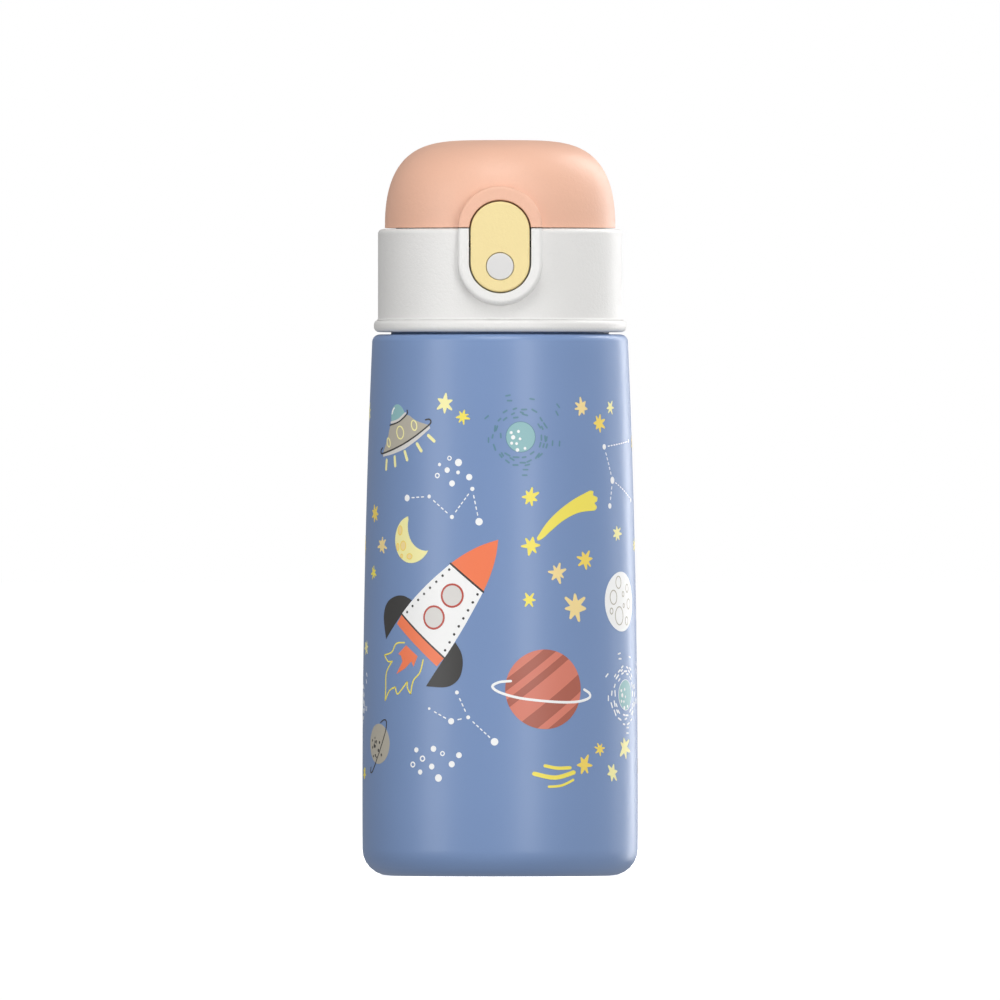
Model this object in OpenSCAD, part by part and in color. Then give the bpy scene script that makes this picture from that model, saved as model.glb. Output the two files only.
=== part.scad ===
// Insulated steel water bottle for children: screw cap, one-touch flip lid and folding straw spout.
// Millimetres. +Z is up, the origin is the centre of the standing face, and the button faces -Y.

/* [Steel body] */
// Outside diameter of the lower wall
body_d = 70; // [58:0.5:84]
// Height of the steel body, from the standing face to the shoulder
body_h = 137.6; // [114:0.2:166]
// Height at which the wall starts to lean in
straight_h = 20; // [16:0.5:24]
// Radius of the bottom corner
base_corner = 7; // [5.8:0.1:8.4]
// Radius of the shoulder's edge
shoulder_edge = 2; // [1.6:0.1:2.4]
// Steel thickness of both walls
steel_t = 0.6; // [0.5:0.02:0.72]
// Width of the vacuum space between the walls
vacuum_gap = 2.6; // [2.1:0.1:3.2]
// Inside radius of the standing ring
foot_r = 24.6; // [20.5:0.1:26]

/* [Neck and thread] */
// Outside diameter of the neck, without its thread
neck_d = 54.6; // [45.5:0.1:65.6]
// Height of the neck above the shoulder
neck_h = 11; // [10:0.1:13.2]
// Rise of the thread in one turn
thread_lead = 4; // [3.6:0.1:4.8]
// Height of the thread ridges
thread_depth = 1.1; // [0.9:0.05:1.3]
// Radial room between the neck's ridge and the cap's skirt
thread_gap = 0.5; // [0.4:0.05:0.6]

/* [Cap] */
// Height of the white collar
collar_h = 26.2; // [24:0.1:31.4]
// Wall of the white collar
collar_t = 1.15; // [0.95:0.05:1.4]
// Wall of the threaded core's skirt
core_t = 0.95; // [0.8:0.05:1.15]
// How far the flange at the collar's foot stands out
flange_out = 1.05; // [0.85:0.05:1.25]
// Height of that flange
flange_h = 3; // [2.5:0.1:3.6]
// Space between the shoulder and the flange
cap_gap = 0.6; // [0.5:0.05:0.75]
// Thickness of the silicone gasket
gasket_t = 1.5; // [1.25:0.05:1.8]
// Thickness of the core's deck
deck_t = 1.8; // [1.5:0.05:2.15]

/* [Flip lid] */
// Height of the dome
dome_h = 22.35; // [21:0.05:26.8]
// How far the dome is set back from the collar
dome_step = 1.75; // [1.45:0.05:2.1]
// Wall of the dome
dome_t = 1.9; // [1.6:0.05:2.2]
// Wall of the inner lid
lid_liner_t = 1.2; // [1:0.05:1.4]
// Space at the parting line
lid_gap = 0.25; // [0.2:0.01:0.3]

/* [Button and pod] */
// Half width of the raised pod round the button
pod_r = 10.75; // [10.3:0.05:11.5]
// Half width of the well that the button sits in
well_r = 7.9; // [7.7:0.05:8.3]
// Space round the button
button_gap = 0.4; // [0.3:0.05:0.5]
// Thickness of the button's plate
button_t = 1.8; // [1.5:0.05:2.1]
// Distance between the centres of the well's two round ends
well_span = 8.1; // [7.6:0.1:9.7]
// Backward lean of the pod's face, in degrees
pod_lean = 7; // [6:0.5:8]
// Radius of the round inlay in the button
dot_r = 3.5; // [2.9:0.1:4.2]

/* [Hinge] */
// Distance of the hinge pin behind the collar's wall
hinge_out = 1; // [0.85:0.05:1.2]
// Radius of the hinge knuckles
knuckle_r = 2.9; // [2.7:0.05:3.1]
// Radius of the hinge pin
hinge_pin_r = 0.9; // [0.75:0.05:1.05]

/* [Spout and straw] */
// Length of the spout's soft tip, from its fold
spout_l = 24; // [20:0.1:25.5]
// Radius of the spout's tube
spout_r = 3.6; // [3:0.05:4.3]
// Angle that the closed lid folds the spout to, in degrees
spout_fold = 50; // [42:0.5:56]
// Outside diameter of the straw
straw_d = 6.5; // [5.8:0.1:7.8]
// Wall of the straw
straw_t = 1; // [0.8:0.05:1.2]
// Height of the straw's foot above the floor of the liner
straw_clear = 6.3; // [5.2:0.1:7.6]

/* [Hidden] */
$fn = 96;
eps = 0.01;
fit = 0.05;               // sliding fit between moulded pieces
past = 1;                 // how far a cutter runs past what it cuts

// Colours
blue_paint = [0.42, 0.53, 0.72];
bare_steel = [0.72, 0.72, 0.73];
dull_metal = [0.45, 0.45, 0.47];
white_abs = [0.93, 0.93, 0.92];
milky_pp = [0.88, 0.88, 0.86];
peach_abs = [0.93, 0.72, 0.62];
yellow_abs = [0.96, 0.88, 0.62];
clear_silicone = [0.86, 0.88, 0.9, 0.7];

// Heights and radii of the steel body
neck_r = neck_d / 2;
lip_z = body_h + neck_h;
hem_h = 3;
cover_z = 0.8;
cover_fit = steel_t + fit;
evac_r = 1.5;             // the hole that the air is drawn out of
bead_drop = 0.2;
getter_r = 4;
getter_t = 1.4;
liner_inset = steel_t + vacuum_gap;
liner_z = 6;
liner_corner = base_corner + 1;
neck_in_low = body_h - 9;
neck_in_high = body_h - 1.8;

// The neck's ridge and the cap's ridge, each with its width at the foot and at the crest
ridge_foot = 2.4;
neck_ridge_crest = 1;
neck_ridge_z = body_h + 2.9;
neck_ridge_turns = 1.3;
cap_ridge_crest = 0.9;
cap_ridge_z = body_h + 4.9;
cap_ridge_turns = 1.15;
cap_ridge_bite = 0.65;

// The cap is built outwards from the neck
core_ir = neck_r + thread_depth + thread_gap;
core_or = core_ir + core_t;
collar_ir = core_or + fit;
collar_or = collar_ir + collar_t;
flange_or = collar_or + flange_out;
shoulder_out = 0.35;
shoulder_r = flange_or + shoulder_out;
cap_z = body_h + cap_gap;
collar_top = cap_z + collar_h;
deck_under = lip_z + gasket_t;
deck_top = deck_under + deck_t;
rim_t = 6.4;
rim_z = collar_top - rim_t;
rim_w = 2.85;
rim_ir = core_or - rim_w;
core_wall_t = 1.45;
core_lift = 0.8;           // the skirt ends this far above the collar's foot
plug_gap = 0.9;
plug_or = neck_r - steel_t - plug_gap;
plug_t = 1.2;
plug_l = 3.8;

// The dome's half section is a superellipse
dome_r = collar_or - dome_step;
dome_z = collar_top + lid_gap;
dome_side_power = 4.3;
dome_top_power = 2.4;
skirt_gap = 0.5;
skirt_or = rim_ir - skirt_gap;
skirt_l = 2;
liner_gap = 3 * fit;

// The pod's frame starts where its face meets the parting line: x goes across, d into the pod, s up the face
pod_y = collar_or + 0.15;
well_high = -0.6;
well_low = well_high - well_span;
pod_high = 0.2;
pod_low = well_low;
button_r = well_r - button_gap;
well_depth = 6;
box_t = 1;
box_r = well_r + 1.1;
box_gap = 0.3;            // room between the well's box and the core
box_lift = 0.4;
recess_depth = 4;
boss_depth = recess_depth + 1.6;
catch_low = 1.6;
catch_h = 2;
catch_depth = 2.6;
hook_gap = 0.2;
hook_low = catch_low + catch_h + hook_gap;
hook_h = 1.4;
hook_depth = catch_depth + 0.6;
catch_w = 9;
dot_s = well_low - 1;
dot_depth = 1;
dot_gap = 0.12;
dot_sink = 0.1;
pivot_d = button_t + 1.8;
pivot_s = well_high - 2.9;
latch_pin_r = 0.8;
latch_pin_l = 9.3;        // half of its length
eye_r = 1.55;
eye_in = 4;
eye_out = 5.8;
peg_r = 1.1;
peg_l = 1;
latch_r = 1.7;
latch_wire = 0.18;
latch_turns = 4;

// Hinge
hinge_y = collar_or + hinge_out;
hinge_drop = 1.6;
hinge_z = collar_top - hinge_drop;
knuckle_gap = 0.2;
relief = 0.4;             // room round the lid's knuckles
lug_root = rim_ir + 1.5;
knuckle_in = 2.9;
knuckle_out = 5.2;
lug_in = knuckle_out + knuckle_gap;
lug_out = 9.4;
spring_r = 2.2;
spring_wire = 0.3;
spring_turns = 6;
spring_x = 2.3;
leg_l = 4.55;
slot_w = 0.9;
slot_gap = 0.2;
lug_slot_l = 3;
arm_root = 1.8;
arm_t = 2.2;

// Spout
pivot_z = deck_top + 5.1;
socket_r = spout_r + 2.6;
socket_lip = spout_r + 1.6;
socket_h = 2.5;
socket_gap = 0.1;
socket_out = socket_r + 1.3;
socket_lip_h = 0.9;
base_flange_t = 1.5;
base_tube_r = spout_r + 1.2;
ball_gap = 0.3;
spout_bore = 1.6;
spout_bead = 0.7;
bead_l = 3;
tube_drop = 2;            // the fixed tube ends this far below the fold
nipple_or = straw_d / 2 - straw_t - fit;
nipple_ir = nipple_or - 0.7;
nipple_l = 8.6;
straw_down = 0.2;         // the straw ends this far below the deck
gasket_gap = 0.3;

// Rib under the inner lid's crown, which lays the spout down
presser_w = 10;
presser_t = 3;
presser_y = -8;
presser_z = pivot_z + 12;
presser_bite = 0.3;

// Valve in the deck, behind the spout
vent_y = 14;
vent_hole = 1.5;
vent_ports = 3;
vent_port_r = 0.45;
vent_port_out = 2.5;
vent_flap_r = 3.5;
vent_flap_t = 0.8;
vent_bulb = 0.5;
vent_bulb_h = 1;
vent_stem = 0.2;

// ---------- helpers ----------

function arc(c, r, a0, a1, n) =
    [for (i = [0:n]) let (a = a0 + (a1 - a0) * i / n) [c[0] + r * cos(a), c[1] + r * sin(a)]];

function backwards(p) = [for (i = [len(p) - 1:-1:0]) p[i]];

function smooth(t) = t * t * (3 - 2 * t);

function unit(v) = v / norm(v);

module tube(r0, r1, z0, z1) {
    rotate_extrude() translate([r0, z0]) square([r1 - r0, z1 - z0]);
}

module disc(r, z0, z1) {
    translate([0, 0, z0]) cylinder(r = r, h = z1 - z0);
}

module along_x(r, x0, x1) {
    translate([x0, 0, 0]) rotate([0, 90, 0]) cylinder(r = r, h = x1 - x0);
}

module both_sides() {
    children();
    mirror([1, 0, 0]) children();
}

// A round wire along a path whose tangents stay square to the axis ref
module wire(path, r, ref, sides = 8) {
    n = len(path);
    tangents = [for (i = [0:n - 1]) unit(path[min(i + 1, n - 1)] - path[max(i - 1, 0)])];
    points = [for (i = [0:n - 1], k = [0:sides - 1])
        let (side = unit(cross(tangents[i], ref)), up = cross(side, tangents[i]), a = 360 * k / sides)
        path[i] + r * (side * cos(a) + up * sin(a))];
    walls = [for (i = [0:n - 2], k = [0:sides - 1]) let (k2 = (k + 1) % sides)
        [i * sides + k, i * sides + k2, (i + 1) * sides + k2, (i + 1) * sides + k]];
    start = [for (k = [sides - 1:-1:0]) k];
    end = [for (k = [0:sides - 1]) (n - 1) * sides + k];
    polyhedron(points, concat(walls, [start, end]), convexity = 10);
}

// One screw ridge: sunk is its foot inside the wall, and its ends run out over 30 degrees
module thread_ridge(sunk, crest, foot_w, crest_w, z0, turns) {
    steps = 40;
    n = ceil(turns * steps);
    run_out = steps / 12;
    points = [for (i = [0:n])
        let (a = 360 * i / steps, z = z0 + thread_lead * i / steps,
             k = min(1, (min(i, n - i) + 0.6) / run_out), c = sunk + (crest - sunk) * k)
        for (p = [[sunk, -foot_w / 2], [c, -crest_w / 2], [c, crest_w / 2], [sunk, foot_w / 2]])
        [p[0] * cos(a), p[0] * sin(a), z + p[1]]];
    turned = crest < sunk;
    walls = [for (i = [0:n - 1], k = [0:3]) let (k2 = (k + 1) % 4, a = i * 4, b = a + 4)
        each turned ? [[a + k, b + k, b + k2], [a + k, b + k2, a + k2]]
                    : [[a + k, b + k2, b + k], [a + k, a + k2, b + k2]]];
    first = turned ? [[0, 1, 2], [0, 2, 3]] : [[0, 2, 1], [0, 3, 2]];
    m = n * 4;
    last = turned ? [[m, m + 2, m + 1], [m, m + 3, m + 2]] : [[m, m + 1, m + 2], [m, m + 2, m + 3]];
    polyhedron(points, concat(walls, first, last), convexity = 10);
}

// ---------- steel body ----------

function wall_r(z) =
    z <= straight_h ? body_d / 2
    : body_d / 2 - (body_d / 2 - shoulder_r) * pow((z - straight_h) / (body_h - straight_h), 2);

function wall_path(inset, z0, z1, n) =
    [for (i = [0:n]) let (z = z0 + (z1 - z0) * i / n) [wall_r(z) - inset, z]];

// The painted wall's section from the standing ring to the neck, moved inwards by inset
function shell_path(inset) = concat(
    arc([body_d / 2 - base_corner, base_corner], base_corner - inset, -90, 0, 8),
    wall_path(inset, straight_h, body_h - shoulder_edge, 14),
    arc([wall_r(body_h - shoulder_edge) - shoulder_edge, body_h - shoulder_edge],
        shoulder_edge - inset, 15, 90, 5));

module outer_shell() {
    color(blue_paint)
    rotate_extrude() polygon(concat(
        [[foot_r, 0]], shell_path(0), [[neck_r, body_h], [neck_r, body_h - steel_t]],
        backwards(shell_path(steel_t)),
        [[foot_r + steel_t, steel_t], [foot_r + steel_t, hem_h], [foot_r, hem_h]]));
}

function liner_r(z) =
    let (t = (z - neck_in_low) / (neck_in_high - neck_in_low), wall = wall_r(z) - liner_inset)
    t <= 0 ? wall : t >= 1 ? neck_r : wall + (neck_r - wall) * smooth(t);

function liner_path(inset) = concat(
    [[0, liner_z + inset]],
    arc([body_d / 2 - liner_inset - liner_corner, liner_z + liner_corner], liner_corner - inset, -90, 0, 8),
    [for (i = [0:10]) let (z = straight_h + (neck_in_low - straight_h) * i / 10) [liner_r(z) - inset, z]],
    [for (i = [1:8]) let (z = neck_in_low + (neck_in_high - neck_in_low) * i / 8) [liner_r(z) - inset, z]],
    [[neck_r - inset, lip_z]]);

module inner_liner() {
    color(bare_steel) {
        rotate_extrude() polygon(concat(liner_path(0), backwards(liner_path(steel_t))));
        thread_ridge(neck_r - steel_t / 2, neck_r + thread_depth, ridge_foot, neck_ridge_crest,
                     neck_ridge_z, neck_ridge_turns);
    }
}

module vacuum_base() {
    color(bare_steel) difference() {
        union() {
            tube(foot_r - steel_t, foot_r, steel_t, hem_h + steel_t);
            disc(foot_r - steel_t / 2, hem_h, hem_h + steel_t);
        }
        disc(evac_r, hem_h - past, hem_h + past);
    }
}

module base_cover() {
    color(bare_steel) difference() {
        disc(foot_r - cover_fit, cover_z, hem_h);
        disc(foot_r - cover_fit - steel_t, cover_z + steel_t, hem_h + past);
    }
}

module getter() {
    color(dull_metal) translate([body_d / 6, 0, hem_h + steel_t]) cylinder(r = getter_r, h = getter_t);
}

module seal_bead() {
    color(dull_metal) disc(evac_r, hem_h - bead_drop, hem_h + steel_t);
}

// ---------- cap: straw, gasket, threaded core, collar ----------

module drinking_straw() {
    color(clear_silicone)
    tube(straw_d / 2 - straw_t, straw_d / 2, liner_z + steel_t + straw_clear, deck_under - straw_down);
}

module lid_gasket() {
    color(white_abs) tube(plug_or + fit, core_ir - gasket_gap, lip_z, deck_under);
}

module vent_port_holes() {
    translate([0, vent_y, deck_under - past]) {
        cylinder(r = vent_hole, h = deck_t + 2 * past);
        for (k = [0:vent_ports - 1])
            rotate([0, 0, 360 * k / vent_ports]) translate([vent_port_out, 0, 0])
                cylinder(r = vent_port_r, h = deck_t + 2 * past);
    }
}

module cap_core() {
    color(milky_pp) {
        difference() {
            union() {
                tube(core_ir, core_or, cap_z + core_lift, deck_top);
                disc(core_or - core_t / 2, deck_under, deck_top);
                tube(core_or - core_wall_t, core_or, deck_under, rim_z);
                tube(plug_or - plug_t, plug_or, deck_under - plug_l, deck_top - deck_t / 2);
                disc(nipple_or, deck_under - nipple_l, deck_top - deck_t / 2);
                tube(socket_r + socket_gap, socket_out, deck_top - deck_t / 2, deck_top + socket_h);
                tube(socket_lip, socket_out - socket_gap,
                     deck_top + socket_h - socket_lip_h, deck_top + socket_h);
            }
            disc(nipple_ir, deck_under - nipple_l - past, deck_top + past);
            vent_port_holes();
            above(deck_top + box_gap / 3) in_pod()
                stadium_prism(box_r + box_gap, well_low, 2 * rim_t, 0, well_depth + box_t + box_gap);
        }
        thread_ridge(core_ir + core_t / 2, neck_r + thread_depth - cap_ridge_bite,
                     ridge_foot, cap_ridge_crest, cap_ridge_z, cap_ridge_turns);
    }
}

module vent_valve() {
    color(clear_silicone) translate([0, vent_y, 0]) {
        disc(vent_hole - fit, deck_under - vent_stem, deck_top + vent_stem);
        disc(vent_hole + vent_bulb, deck_top, deck_top + vent_bulb_h);
        disc(vent_flap_r, deck_under - vent_flap_t, deck_under);
    }
}

// Children in the pod's own frame
module in_pod() {
    translate([0, -pod_y, collar_top]) rotate([-pod_lean, 0, 0]) children();
}

module stadium(r, s0, s1) {
    translate([0, s0]) circle(r = r);
    translate([0, s1]) circle(r = r);
    translate([-r, s0]) square([2 * r, s1 - s0]);
}

module stadium_prism(r, s0, s1, d0, d1) {
    translate([0, d1, 0]) rotate([90, 0, 0]) linear_extrude(d1 - d0) stadium(r, s0, s1);
}

module pod_block(x, s0, s1, d0, d1) {
    translate([-x, d0, s0]) cube([2 * x, d1 - d0, s1 - s0]);
}

module above(z) {
    intersection() {
        children();
        translate([-body_d, -body_d, z]) cube([2 * body_d, 2 * body_d, 2 * dome_h + rim_t]);
    }
}

module below(z) {
    intersection() {
        children();
        translate([-body_d, -body_d, cap_z]) cube([2 * body_d, 2 * body_d, z - cap_z]);
    }
}

module collar_pod() {
    difference() {
        below(collar_top) in_pod() stadium_prism(pod_r, pod_low, rim_t, 0, well_depth);
        disc(collar_ir, cap_z - past, rim_z);
        disc(rim_ir, rim_z - past, collar_top + past);
    }
    intersection() {
        below(collar_top) in_pod() stadium_prism(box_r, pod_low, rim_t, box_t, well_depth + box_t);
        disc(collar_or, deck_top + box_lift, collar_top);
    }
}

module collar_lugs() {
    both_sides() difference() {
        union() {
            translate([0, hinge_y, hinge_z]) along_x(knuckle_r, lug_in, lug_out);
            translate([lug_in, lug_root, hinge_z - knuckle_r])
                cube([lug_out - lug_in, hinge_y - lug_root, knuckle_r + hinge_drop - eps]);
        }
        disc(rim_ir + eps, cap_z, collar_top + past);
    }
}

module latch_pin_bar() {
    translate([0, pivot_d, pivot_s]) along_x(latch_pin_r, -latch_pin_l, latch_pin_l);
}

module collar() {
    color(white_abs) difference() {
        union() {
            tube(collar_ir, collar_or, cap_z, collar_top);
            tube(collar_ir, flange_or, cap_z, cap_z + flange_h);
            tube(rim_ir, collar_ir + collar_t / 2, rim_z, collar_top);
            collar_pod();
            collar_lugs();
        }
        in_pod() {
            stadium_prism(well_r, well_low, rim_t + 3, -past, well_depth);
            latch_pin_bar();
        }
        translate([0, hinge_y, hinge_z]) {
            along_x(knuckle_r + relief, -lug_in, lug_in);
            along_x(hinge_pin_r, -lug_out - past, lug_out + past);
            translate([-spring_x - slot_w / 2, -spring_r - slot_w / 2, -leg_l - slot_gap])
                cube([slot_w, lug_slot_l, leg_l - slot_w / 2 - slot_gap + eps]);
        }
    }
}

// ---------- spout ----------

module spout_base() {
    color(clear_silicone) difference() {
        union() {
            disc(socket_r, deck_top, deck_top + base_flange_t);
            disc(base_tube_r, deck_top, pivot_z - tube_drop);
        }
        translate([0, 0, pivot_z]) sphere(r = spout_r + ball_gap);
        disc(spout_bore, deck_top - past, pivot_z);
    }
}

module spout_tip() {
    color(clear_silicone) translate([0, 0, pivot_z]) rotate([spout_fold, 0, 0]) difference() {
        union() {
            sphere(r = spout_r);
            cylinder(r = spout_r, h = spout_l);
            translate([0, 0, spout_l - bead_l]) cylinder(r = spout_r + spout_bead, h = bead_l);
        }
        translate([0, 0, -spout_r - past]) cylinder(r = spout_bore, h = spout_l + spout_r + 2 * past);
    }
}

// ---------- hinge and latch hardware ----------

module hinge_pin() {
    color(bare_steel) translate([0, hinge_y, hinge_z]) along_x(hinge_pin_r, -lug_out, lug_out);
}

// Torsion spring: one leg lies in the collar's groove, and the other lifts the lid
module lid_spring() {
    steps = 16;
    n = round((spring_turns + 0.25) * steps);
    coil = [for (i = [0:n]) let (a = 180 - 360 * i / steps)
        [-spring_x + 2 * spring_x * i / n, spring_r * cos(a), spring_r * sin(a)]];
    leg_down = [[-spring_x, -spring_r, -leg_l], [-spring_x, -spring_r, -leg_l / 2]];
    leg_up = [[spring_x, -leg_l / 2, spring_r], [spring_x, -leg_l, spring_r]];
    path = concat(leg_down, coil, leg_up);
    color(bare_steel) translate([0, hinge_y, hinge_z]) wire(path, spring_wire, [1, 0, 0]);
}

module latch_pin() {
    color(bare_steel) in_pod() latch_pin_bar();
}

module latch_spring() {
    steps = 16;
    n = latch_turns * steps;
    span = well_depth - button_t - 2 * latch_wire - 2 * fit;
    path = [for (i = [0:n]) let (a = 360 * i / steps)
        [latch_r * cos(a), latch_r * sin(a), span * i / n]];
    color(bare_steel) in_pod() translate([0, button_t + latch_wire + fit, dot_s]) rotate([-90, 0, 0])
        wire(path, latch_wire, [0, 0, 1]);
}

// ---------- flip lid ----------

// Half section of the dome, from its foot up to its crown, with the wall taken in by inset
function dome_path(inset) = [for (i = [0:24]) let (a = 90 * i / 24)
    [(dome_r - inset) * pow(cos(a), 2 / dome_side_power),
     dome_z + (dome_h - inset) * pow(sin(a), 2 / dome_top_power)]];

module dome_solid(inset, drop = 0) {
    rotate_extrude() polygon(concat(
        [[0, dome_z - drop], [dome_r - inset, dome_z - drop]], dome_path(inset)));
}

module lid_boss() {
    above(dome_z) in_pod() stadium_prism(pod_r, pod_low, pod_high, 0, boss_depth);
}

module lid_knuckles() {
    both_sides() {
        translate([0, hinge_y, hinge_z]) along_x(knuckle_r, knuckle_in, knuckle_out);
        translate([knuckle_in, dome_r - arm_root, dome_z])
            cube([knuckle_out - knuckle_in, hinge_y - dome_r + arm_root, arm_t]);
    }
}

module lid_shell() {
    color(peach_abs) {
        difference() {
            union() {
                dome_solid(0);
                lid_boss();
                lid_knuckles();
            }
            difference() {
                dome_solid(dome_t, past);
                lid_boss();
            }
            in_pod() stadium_prism(well_r, well_low, well_high, -past, recess_depth);
            translate([0, hinge_y, hinge_z]) {
                along_x(hinge_pin_r + fit, -lug_in, lug_in);
                translate([spring_x - slot_w / 2, -leg_l - slot_gap, spring_r - slot_w / 2])
                    cube([slot_w, leg_l, slot_w]);
            }
        }
        in_pod() pod_block(catch_w / 2, catch_low, catch_low + catch_h, catch_depth, recess_depth + box_gap);
    }
}

module lid_liner() {
    outer = dome_t + liner_gap;
    inner = outer + lid_liner_t;
    color(white_abs) {
        difference() {
            union() {
                dome_solid(outer);
                disc(skirt_or, dome_z - skirt_l, dome_z + 2);
            }
            dome_solid(inner);
            disc(skirt_or - lid_liner_t, dome_z - skirt_l - past, dome_z + 2);
            in_pod() stadium_prism(pod_r + box_gap, pod_low - well_span, pod_high, -past,
                                   well_depth + box_t + box_lift);
        }
        difference() {
            translate([-presser_w / 2, presser_y, presser_z])
                cube([presser_w, presser_t, collar_top + dome_h - presser_z]);
            difference() {
                disc(dome_r, pivot_z, dome_z + 2 * dome_h);
                dome_solid(inner - presser_bite, dome_h);
            }
        }
    }
}

// ---------- button ----------

module push_button() {
    color(yellow_abs) in_pod() {
        difference() {
            union() {
                stadium_prism(button_r, well_low, well_high, 0, button_t);
                both_sides() {
                    translate([0, pivot_d, pivot_s]) along_x(eye_r, eye_in, eye_out);
                    translate([eye_in, button_t / 2, pivot_s - eye_r])
                        cube([eye_out - eye_in, pivot_d - button_t / 2, 2 * eye_r]);
                }
            }
            translate([0, pivot_d, pivot_s]) along_x(latch_pin_r + fit, -pod_r, pod_r);
            translate([0, dot_depth, dot_s]) rotate([90, 0, 0])
                cylinder(r = dot_r + dot_gap, h = dot_depth + past);
        }
        pod_block(catch_w / 2 - box_gap, hook_low, hook_low + hook_h, button_t / 2, hook_depth);
        translate([0, button_t + peg_l, dot_s]) rotate([90, 0, 0]) cylinder(r = peg_r, h = peg_l + box_gap);
    }
}

module button_dot() {
    color(white_abs) in_pod()
        translate([0, dot_depth, dot_s]) rotate([90, 0, 0]) cylinder(r = dot_r, h = dot_depth - dot_sink);
}

outer_shell();
inner_liner();
vacuum_base();
base_cover();
getter();
seal_bead();
drinking_straw();
lid_gasket();
collar();
cap_core();
vent_valve();
spout_base();
hinge_pin();
lid_spring();
latch_pin();
latch_spring();
lid_shell();
lid_liner();
spout_tip();
push_button();
button_dot();
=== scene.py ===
import math
import random

import bmesh
import bpy
from mathutils import Matrix, Vector


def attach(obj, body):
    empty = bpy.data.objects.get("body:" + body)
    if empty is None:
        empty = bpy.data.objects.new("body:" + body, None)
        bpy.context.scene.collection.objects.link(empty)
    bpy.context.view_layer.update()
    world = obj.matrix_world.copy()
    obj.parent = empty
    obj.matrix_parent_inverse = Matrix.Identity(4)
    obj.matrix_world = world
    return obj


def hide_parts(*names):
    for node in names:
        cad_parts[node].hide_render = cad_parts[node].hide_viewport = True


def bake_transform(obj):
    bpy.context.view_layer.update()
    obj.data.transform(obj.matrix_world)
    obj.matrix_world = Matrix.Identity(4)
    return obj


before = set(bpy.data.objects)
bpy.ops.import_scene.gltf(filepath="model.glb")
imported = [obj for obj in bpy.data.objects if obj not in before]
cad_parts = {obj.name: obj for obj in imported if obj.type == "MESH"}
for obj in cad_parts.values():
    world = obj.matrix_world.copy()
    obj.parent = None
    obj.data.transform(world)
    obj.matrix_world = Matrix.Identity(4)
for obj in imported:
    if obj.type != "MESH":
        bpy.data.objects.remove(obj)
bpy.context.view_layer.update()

# ---------------------------------------------------------------------------
# Camera and studio. A long lens at the bottle's own height, a plain pale floor,
# and soft boxes: two in front, a strong one behind on the right, little light on the left.
scene = bpy.context.scene
scene.view_settings.view_transform = "Standard"
FRAME_WIDTH = 0.2543
LENS, SENSOR = 1600, 36
EYE_X, EYE_Z = -0.00002, 0.0955
MIDDLE = 0.09
camera = bpy.data.objects.new("camera", bpy.data.cameras.new("camera"))
camera.data.lens, camera.data.sensor_width, camera.data.clip_end = LENS, SENSOR, 90
camera.location = (EYE_X, -FRAME_WIDTH * LENS / SENSOR, EYE_Z)
camera.rotation_euler = (math.radians(90), 0, 0)
scene.collection.objects.link(camera)
scene.camera = camera


def softbox(name, azimuth, height, distance, width, tall, power):
    """A large area light that faces the bottle's middle. Azimuth 0 is in front, 90 is on the right."""
    light = bpy.data.lights.new(name, "AREA")
    light.shape, light.size, light.size_y, light.energy = "RECTANGLE", width, tall, power
    lamp = bpy.data.objects.new(name, light)
    turn = math.radians(azimuth)
    place = Vector((math.sin(turn) * distance, -math.cos(turn) * distance, height))
    lamp.location = place
    lamp.rotation_euler = (place - Vector((0, 0, MIDDLE))).to_track_quat("Z", "Y").to_euler()
    scene.collection.objects.link(lamp)


softbox("left_strip", -55, 0.25, 1.3, 0.5, 1.1, 5.7)
softbox("front_strip", 23, 0.25, 1.3, 0.34, 1.1, 5.6)
softbox("edge_strip", 115, 0.25, 1.3, 0.28, 1.1, 1.8)
softbox("rim_strip", 145, 0.25, 1.3, 0.28, 1.1, 5.6)
softbox("high_back_box", 130, 0.95, 1.0, 0.35, 0.5, 4.2)
softbox("top_box", 0, 1.3, 0.7, 0.7, 0.7, 8)


class Shade:
    """One output of a shader node. Python's operators add Math nodes behind it."""

    def __init__(self, tree, socket=None):
        self.tree, self.socket = tree, socket

    def node(self, kind, settings=None, inputs=None, output=0):
        made = self.tree.nodes.new("ShaderNode" + kind)
        for key, value in (settings or {}).items():
            setattr(made, key, value)
        for key, value in (inputs or {}).items():
            if isinstance(value, Shade):
                self.tree.links.new(value.socket, made.inputs[key])
            else:
                made.inputs[key].default_value = value
        return Shade(self.tree, made.outputs[output] if made.outputs else None)

    def maths(self, operation, first, second):
        return self.node("Math", {"operation": operation}, {0: first, 1: second})

    def __add__(self, other):
        return self.maths("ADD", self, other)

    def __radd__(self, other):
        return self.maths("ADD", other, self)

    def __sub__(self, other):
        return self.maths("SUBTRACT", self, other)

    def __mul__(self, other):
        return self.maths("MULTIPLY", self, other)

    def blend(self, low, high):
        """Goes from one colour to another as this value goes from 0 to 1."""
        return self.node("Mix", {"data_type": "RGBA"}, {0: self, 6: low, 7: high}, 2)


def linear(red, green, blue):
    """A paint colour given in the 0 to 255 steps of a colour card, in the shader's own scale."""
    parts = [c / 255 for c in (red, green, blue)]
    parts = [c / 12.92 if c <= 0.04045 else ((c + 0.055) / 1.055) ** 2.4 for c in parts]
    return (*parts, 1)


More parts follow.
